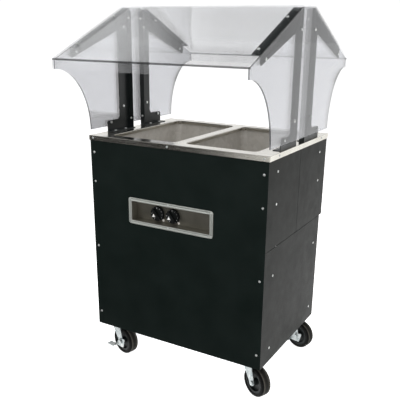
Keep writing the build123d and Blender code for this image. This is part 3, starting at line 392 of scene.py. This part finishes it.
PLASTIC = moulded("black_plastic", (0.004, 0.005, 0.005), (0.008, 0.009, 0.009), 0.35, specular=0.2)
CORE = moulded("wheel_core", (0.006, 0.008, 0.008), (0.014, 0.017, 0.017), 0.45, specular=0.25)
LENS = lit_lens("pilot_lens")
WOOL = glass_wool("glass_wool")
SHEATH = brushed_steel("element_sheath", (40, 40, 40), (0.10, 0.08, 0.07), (0.22, 0.18, 0.15), 0.5)

NODE_MATERIALS = (
    ("deck_top", DECK_STEEL),
    ("well_liner", WELL_ZINC),
    ("well_housing", GALVANISED),
    ("well_insulation", WOOL),
    ("heating_elements", SHEATH),
    ("base_frame", FRONT_BLACK),
    ("undershelf", GALVANISED),
    ("corner_posts", FRONT_BLACK),
    ("front_panel", FRONT_BLACK),
    ("side_panel", SIDE_BLACK_PAINTED_LIGHTER),
    ("rear_apron", FRONT_BLACK),
    ("control_tray", TRAY_STEEL),
    ("heat_switch", PLASTIC),
    ("switch_shaft", ZINC),
    ("knob", PLASTIC),
    ("pilot_lamps", LENS),
    ("control_box", GALVANISED),
    ("power_inlet", PLASTIC),
    ("conduits", GALVANISED),
    ("roof_pane", ROOF_ACRYLIC),
    ("end_pane", END_ACRYLIC),
    ("canopy_leg", LEG_BLACK),
    ("canopy_bolts", ZINC),
    ("foot_bolts", ZINC),
    ("cabinet_screws", ZINC),
    ("caster_top_plates", CASTER_ZINC),
    ("caster_plate_bolts", ZINC),
    ("caster_fork", CASTER_ZINC),
    ("caster_axle", CASTER_ZINC),
    ("wheel_core", CORE),
    ("brake_pedal", CASTER_ZINC),
)


def dress_nodes():
    """Gives every CAD node its procedural material."""
    for name, node in nodes.items():
        if name.startswith("tyre"):
            low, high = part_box(name)
            turn = math.radians(SWIVEL_TURNS[name.removeprefix("tyre_")])
            material = tyre_rubber(f"rubber_{name}", (low + high) / 2, turn)
        else:
            material = next(m for start, m in NODE_MATERIALS if name.startswith(start))
        if not node.data.materials:
            node.data.materials.append(material)
        for slot in node.material_slots:
            slot.material = material


# ---------------------------------------------------------------- detailed pieces
def new_piece(name, grid, material, body="cabinet", smooth=True):
    """Turns a bmesh into a piece that rides on a body."""
    mesh = bpy.data.meshes.new(name)
    bmesh.ops.recalc_face_normals(grid, faces=grid.faces)
    grid.to_mesh(mesh)
    grid.free()
    mesh.polygons.foreach_set("use_smooth", [smooth] * len(mesh.polygons))
    mesh.materials.append(material)
    piece = bpy.data.objects.new(name, mesh)
    bpy.context.scene.collection.objects.link(piece)
    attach(piece, body)
    return piece


def facing_frame(point, normal, turn=0.0):
    """Matrix whose Z axis is the normal at the point."""
    spin = Matrix.Rotation(turn, 4, "Z")
    return Matrix.Translation(point) @ Vector(normal).to_track_quat("Z", "Y").to_matrix().to_4x4() @ spin


def ring(grid, place, radius, height, segments=32):
    """Ring of vertices; height is a number or a function of (x, y)."""
    corners = []
    for step in range(segments):
        angle = math.tau * step / segments
        x, y = radius * math.cos(angle), radius * math.sin(angle)
        z = height(x, y) if callable(height) else height
        corners.append(grid.verts.new(place @ Vector((x, y, z))))
    return corners


def bridge(grid, lower, upper):
    """Quads between two rings with the same number of vertices."""
    count = len(lower)
    for step in range(count):
        after = (step + 1) % count
        grid.faces.new((lower[step], lower[after], upper[after], upper[step]))


def cross_head(grid, place, radius, height, shank_radius, grip, nut_height=0.0):
    """Pan-head screw with a cross recess, its shank, and where there is one its hexagon nut."""
    arm = 0.15 * radius
    reach = 0.55 * radius

    def crown(x, y):
        out = math.hypot(x, y)
        top = height * (1.0 - (out / radius) ** 4) ** 0.5
        in_cross = out < reach and (abs(x) < arm or abs(y) < arm)
        return top - 0.55 * height if in_cross else top

    below = ring(grid, place, radius, 0.0)
    inner_under = ring(grid, place, shank_radius, 0.0)
    tail = ring(grid, place, shank_radius, -grip - nut_height * 1.25)
    bridge(grid, inner_under, below)
    bridge(grid, tail, inner_under)
    grid.faces.new(tail)
    for share in HEAD_RINGS:
        above = ring(grid, place, radius * share, crown)
        bridge(grid, below, above)
        below = above
    grid.faces.new(below)
    if nut_height:
        nut_low = ring(grid, place, radius * 0.96, -grip - nut_height, 6)
        nut_high = ring(grid, place, radius * 0.96, -grip, 6)
        bridge(grid, nut_low, nut_high)
        grid.faces.new(nut_low)
        grid.faces.new(nut_high)


def make_fasteners():
    """Cross-recess heads in place of the CAD's plain domes, at the same points."""
    randomly = random.Random(FASTENER_SEED)
    bolts, feet, screws = bmesh.new(), bmesh.new(), bmesh.new()
    sine, cosine = math.sin(ROOF_ANGLE), math.cos(ROOF_ANGLE)

    def add(grid, point, normal, *sizes):
        spot = (point[0] + CABINET_X, point[1], point[2])
        cross_head(grid, facing_frame(spot, normal, randomly.uniform(0, math.pi)), *sizes)

    for i in (-1, 1):
        for j in (-1, 1):
            for y, z in PANEL_BOLTS:
                add(bolts, (i * END_OUT, j * y, z), (i, 0, 0), *BOLT, PANE_T + LEG_T, NUT_H)
            for z in TIE_BOLT_Z:
                add(bolts, (i * TIE_BOLT_X, j * TIE_BOLT_Y, z), (0, j, 0), *SMALL_BOLT, LEG_T, NUT_H)
            for y in ROOF_BOLT_Y:
                under = EAVE_Z + (EAVE_Y - y) * math.tan(ROOF_ANGLE) - PANE_T / cosine
                point = (i * ROOF_BOLT_X, j * (y + sine * PANE_T), under + cosine * PANE_T)
                add(bolts, point, (0, j * sine, cosine), *BOLT, PANE_T + LEG_T, NUT_H)
            for y in FOOT_BOLT_Y:
                point = (i * FOOT_BOLT_X, j * y, DECK_TOP + LEG_T)
                add(feet, point, (0, 0, 1), *BOLT, LEG_T + PANEL_T, NUT_H)
            add(screws, (i * (HALF_W + RIM_T), j * SIDE_SCREW_Y, RIM_SCREW_Z), (i, 0, 0), *SMALL_SCREW,
                RIM_SIDE_SCREW_L)
            for z in SCREW_ROWS:
                add(screws, (i * HALF_W, j * SIDE_SCREW_Y, z), (i, 0, 0), *SCREW, PANEL_SCREW_L)
        for z in SCREW_ROWS:
            add(screws, (i * FRONT_SCREW_X, -HALF_D, z), (0, -1, 0), *SCREW, PANEL_SCREW_L)
        for x in (-FRONT_SCREW_X, MID_SCREW_X, FRONT_SCREW_X):
            add(screws, (x, i * (HALF_D + RIM_T), RIM_SCREW_Z), (0, i, 0), *SMALL_SCREW, RIM_FRONT_SCREW_L)
        for x in (RECESS_X - BEZEL_SCREW_X, MID_SCREW_X, RECESS_X + BEZEL_SCREW_X):
            point = (x, -HALF_D - TRAY_T, RECESS_Z + i * BEZEL_SCREW_Z)
            add(screws, point, (0, -1, 0), *SMALL_SCREW, BEZEL_SCREW_L)
    for name, grid in (("canopy_bolts", bolts), ("foot_bolts", feet), ("cabinet_screws", screws)):
        piece = new_piece(f"{name}_cross_recess", grid, ZINC, smooth=False)
        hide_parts(name)


def flat_shape(grid, corners, place, thickness):
    """Thin raised plate with the given corners, such as a painted mark."""
    low = [grid.verts.new(place @ Vector((x, y, 0))) for x, y in corners]
    high = [grid.verts.new(place @ Vector((x, y, thickness))) for x, y in corners]
    bridge(grid, low, high)
    grid.faces.new(low)
    grid.faces.new(high)


def make_knob_marks(side):
    """Generic dial ticks round the skirt and a pointer triangle on the knob's face."""
    low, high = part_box(f"knob_{side}")
    centre_x, centre_z = (low.x + high.x) / 2, (low.z + high.z) / 2
    radius = (high.x - low.x) / 2
    ticks = bmesh.new()
    skirt_y = low.y + KNOB_GRIP
    for step in range(DIAL_TICKS):
        angle = math.radians(DIAL_START + DIAL_SWEEP * step / (DIAL_TICKS - 1))
        place = facing_frame((centre_x, skirt_y, centre_z), (0, -1, 0), angle)
        near = radius * (LONG_TICK_IN if step % LONG_TICK_EVERY == 0 else TICK_IN)
        far = radius * TICK_OUT
        corners = ((near, -TICK_HALF_W), (far, -TICK_HALF_W), (far, TICK_HALF_W), (near, TICK_HALF_W))
        flat_shape(ticks, corners, place, TICK_T)
    new_piece(f"dial_ticks_{side}", ticks, PAINT, f"knob_{side}_body", False)
    pointer = bmesh.new()
    place = facing_frame((centre_x, skirt_y, centre_z), (0, -1, 0), 0.0)
    middle = Vector(POINTER_AT) * radius
    size = POINTER_SIZE
    outline = [(0, size), (-size, -size * 0.8), (size, -size * 0.8)]
    corners = [(middle.x + x, middle.y + y) for x, y in outline]
    flat_shape(pointer, corners, place, POINTER_T)
    new_piece(f"pointer_{side}", pointer, PAINT, f"knob_{side}_body", False)


def make_seam_lips():
    """Black strip behind the seam of each end's panels, between the posts, so no light shows through."""
    for side, sign in (("left", -1), ("right", 1)):
        lip = bmesh.new()
        centre = Vector((CABINET_X + sign * (SEAM_LIP_X - SEAM_LIP_HALF[0]), SEAM_LIP_Y, SEAM_Z))
        bmesh.ops.create_cube(lip, size=2.0)
        bmesh.ops.scale(lip, vec=SEAM_LIP_HALF, verts=lip.verts)
        bmesh.ops.translate(lip, vec=centre, verts=lip.verts)
        new_piece(f"seam_lip_{side}", lip, SIDE_BLACK_PAINTED_LIGHTER, "cabinet", False)


def make_bezel_bead():
    """Pressed bead round the tray's flange."""
    low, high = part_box("control_tray")
    grid = bmesh.new()
    loops = []
    for inset, proud in BEAD_PROFILE:
        half_w = (high.x - low.x) / 2 - inset
        half_h = (high.z - low.z) / 2 - inset
        corner = max(BEZEL_R - inset, 0.002)
        loop = []
        for quarter in range(4):
            centre = Vector((half_w - corner, half_h - corner))
            if quarter in (1, 2):
                centre.x = -centre.x
            if quarter in (2, 3):
                centre.y = -centre.y
            for step in range(7):
                angle = math.pi / 2 * (quarter + step / 6)
                x = (low.x + high.x) / 2 + centre.x + corner * math.cos(angle)
                z = (low.z + high.z) / 2 + centre.y + corner * math.sin(angle)
                loop.append(grid.verts.new((x, low.y - proud, z)))
        loops.append(loop)
    for inner, outer in zip(loops, loops[1:]):
        bridge(grid, inner, outer)
    new_piece("bezel_bead", grid, BEAD_STEEL)


# ---------------------------------------------------------------- studio
def area_light(name, position, target, size, power):
    """Soft white light that neither the camera nor a reflection sees."""
    data = bpy.data.lights.new(name, "AREA")
    data.shape = "RECTANGLE"
    data.size, data.size_y = size
    data.energy = power
    light = bpy.data.objects.new(name, data)
    light.location = position
    light.rotation_euler = (Vector(target) - Vector(position)).to_track_quat("-Z", "Y").to_euler()
    light.visible_camera = False
    light.visible_glossy = False
    bpy.context.scene.collection.objects.link(light)


def make_world():
    """Pale at the horizon and darker overhead, as a white sweep under a dark ceiling."""
    world = bpy.data.worlds.new("studio")
    bpy.context.scene.world = world
    world.use_nodes = True
    tree = world.node_tree
    coords = tree.nodes.new("ShaderNodeTexCoord")
    split = tree.nodes.new("ShaderNodeSeparateXYZ")
    tree.links.new(coords.outputs["Generated"], split.inputs["Vector"])
    greys = ((0.0, 1.0), (0.34, 0.95), (0.60, 0.06), (1.0, 0.04))
    stops = [(height, (grey, grey, grey)) for height, grey in greys]
    colour = ramp(tree, split.outputs["Z"], stops)
    tree.links.new(colour, tree.nodes["Background"].inputs["Color"])
    tree.nodes["Background"].inputs["Strength"].default_value = 1.05


def make_floor():
    """Plain pale floor that runs to the horizon, lit a little from itself so that it stays white."""
    mesh = bpy.data.meshes.new("floor")
    grid = bmesh.new()
    bmesh.ops.create_grid(grid, x_segments=8, y_segments=8, size=90.0)
    grid.to_mesh(mesh)
    grid.free()
    floor = bpy.data.objects.new("floor", mesh)
    bpy.context.scene.collection.objects.link(floor)
    floor.location.z = cad_box[0].z
    material, tree, shader = new_material("floor_paint")
    stops = [(0.3, (0.88, 0.88, 0.88)), (0.7, (0.92, 0.92, 0.92))]
    tree.links.new(ramp(tree, noise(tree, object_coords(tree), 0.6), stops), shader.inputs["Base Color"])
    shader.inputs["Roughness"].default_value = 0.9
    shader.inputs["Specular IOR Level"].default_value = 0.1
    shader.inputs["Emission Color"].default_value = (1, 1, 1, 1)
    shader.inputs["Emission Strength"].default_value = FLOOR_GLOW
    mesh.materials.append(material)


def reflector(name, centre, target, size, strength, softness):
    """Card that only reflections see: a softbox, or a black flag where strength is zero."""
    mesh = bpy.data.meshes.new(name)
    grid = bmesh.new()
    bmesh.ops.create_grid(grid, x_segments=1, y_segments=1, size=1.0)
    grid.to_mesh(mesh)
    grid.free()
    card = bpy.data.objects.new(name, mesh)
    bpy.context.scene.collection.objects.link(card)
    card.location = centre
    card.scale = (size[0] / 2, size[1] / 2, 1)
    card.rotation_euler = (Vector(target) - Vector(centre)).to_track_quat("Z", "Y").to_euler()
    card.visible_camera = card.visible_diffuse = card.visible_shadow = card.visible_transmission = False
    material, tree, shader = new_material(name)
    split = tree.nodes.new("ShaderNodeSeparateXYZ")
    tree.links.new(object_coords(tree), split.inputs["Vector"])
    edges = []
    for axis in ("X", "Y"):
        span = tree.nodes.new("ShaderNodeMath")
        span.operation = "ABSOLUTE"
        tree.links.new(split.outputs[axis], span.inputs[0])
        edges.append(spread(tree, span.outputs["Value"], 1.0, 0.0, (1.0 - softness, 1.0)))
    mask = tree.nodes.new("ShaderNodeMath")
    mask.operation = "MULTIPLY"
    tree.links.new(edges[0], mask.inputs[0])
    tree.links.new(edges[1], mask.inputs[1])
    glow = tree.nodes.new("ShaderNodeEmission")
    glow.inputs["Strength"].default_value = strength
    clear = tree.nodes.new("ShaderNodeBsdfTransparent")
    mix = tree.nodes.new("ShaderNodeMixShader")
    tree.links.new(mask.outputs["Value"], mix.inputs["Fac"])
    tree.links.new(clear.outputs["BSDF"], mix.inputs[1])
    tree.links.new(glow.outputs["Emission"], mix.inputs[2])
    tree.links.new(mix.outputs["Shader"], tree.nodes["Material Output"].inputs["Surface"])
    tree.nodes.remove(shader)
    mesh.materials.append(material)


def make_studio():
    """World, floor, two lights and the cards that the roof and the rim reflect."""
    make_world()
    make_floor()
    area_light("overhead", (0.3, -0.8, 4.2), (0, 0, 0.8), (3.4, 3.4), 190)
    area_light("front_fill", (2.8, -4.5, 2.6), (0, 0, 0.6), (3.0, 2.4), 60)
    reflector("roof_softbox", (-3.4, 2.0, 4.2), (-0.4, -0.3, 1.4), (2.6, 2.2), 1.25, 0.7)
    reflector("floor_flag_near", (-1.0, -2.4, 0.02), (-1.0, -2.4, 3.0), (10.0, 4.1), 0.0, 0.02)
    reflector("floor_flag_far", (-8.1, -8.4, 0.03), (-8.1, -8.4, 3.0), (12.0, 8.0), 0.0, 0.02)
    bpy.context.scene.view_settings.view_transform = "Standard"


make_camera()
dress_nodes()
make_fasteners()
for side_name in ("left", "right"):
    make_knob_marks(side_name)
make_seam_lips()
make_bezel_bead()
make_studio()
